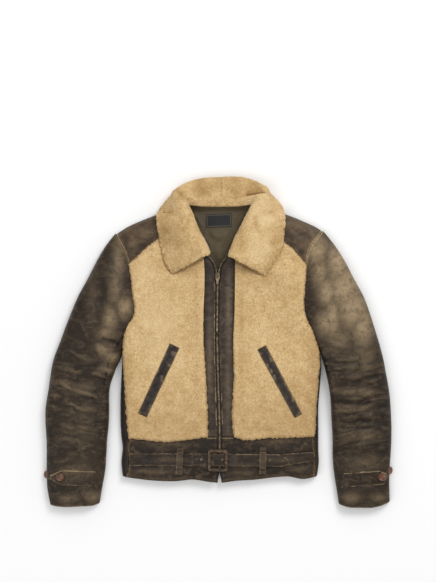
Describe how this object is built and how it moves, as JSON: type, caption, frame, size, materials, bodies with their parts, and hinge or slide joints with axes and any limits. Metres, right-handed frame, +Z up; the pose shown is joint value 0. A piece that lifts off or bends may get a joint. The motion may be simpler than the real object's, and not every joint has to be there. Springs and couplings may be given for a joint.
{
  "type": "shearling coat laid flat",
  "caption": "Belted shearling coat laid flat, face up, with fleece fronts and collar, leather sleeves, pocket welts, zip and cuff tabs.",
  "frame": {"origin": "under the back panel, on the surface that the coat lies on, on the centre line about level with the middle of the whole coat", "axes": "+Z up out of the coat's front, +Y towards the collar, +X towards the wearer's left"},
  "size_m": [0.8398, 0.7937, 0.067],
  "materials": {
    "leather": "waxed and rubbed, soft sheen",
    "trim": "waxed, soft sheen",
    "fleece": "short curled pile",
    "lining": "smooth twill",
    "label": "woven",
    "bronze": "antique",
    "zip_tape": "woven",
    "button": "polished"
  },
  "bodies": {
    "coat": {"collar": "fleece", "front_right": "fleece", "front_left": "fleece", "yoke_right": "leather", "yoke_left": "leather", "side_right": "leather", "side_left": "leather", "back": "leather", "placket_right": "leather", "placket_left": "leather", "sleeve_top_right": "leather", "sleeve_top_left": "leather", "sleeve_under_right": "leather", "sleeve_under_left": "leather", "waistband_front_right": "leather", "waistband_front_left": "leather", "waistband_side_right": "leather", "waistband_side_left": "leather", "waistband_back": "leather", "cuff_tab_right": "leather", "cuff_tab_left": "leather", "belt_right": "trim", "belt_left": "trim", "belt_tongue": "trim", "belt_loop_right": "trim", "belt_loop_left": "trim", "welt_right": "trim", "welt_left": "trim", "back_lining": "lining", "label": "label", "buckle": "bronze", "zip_slider": "bronze", "zip_chain_right": "bronze", "zip_chain_left": "bronze", "zip_tape_right": "zip_tape", "zip_tape_left": "zip_tape", "button_right_1": "button", "button_right_2": "button", "button_left_1": "button", "button_left_2": "button"},
    "pull_tab": {"zip_pull": "bronze"}
  },
  "joints": [
    {"name": "pull_tab_hinge", "type": "hinge", "parent": "coat", "child": "pull_tab", "pos_m": [-0.001, 0.16, 0.0325], "axis": [-1, 0, 0], "range_deg": [0, 165]}
  ]
}
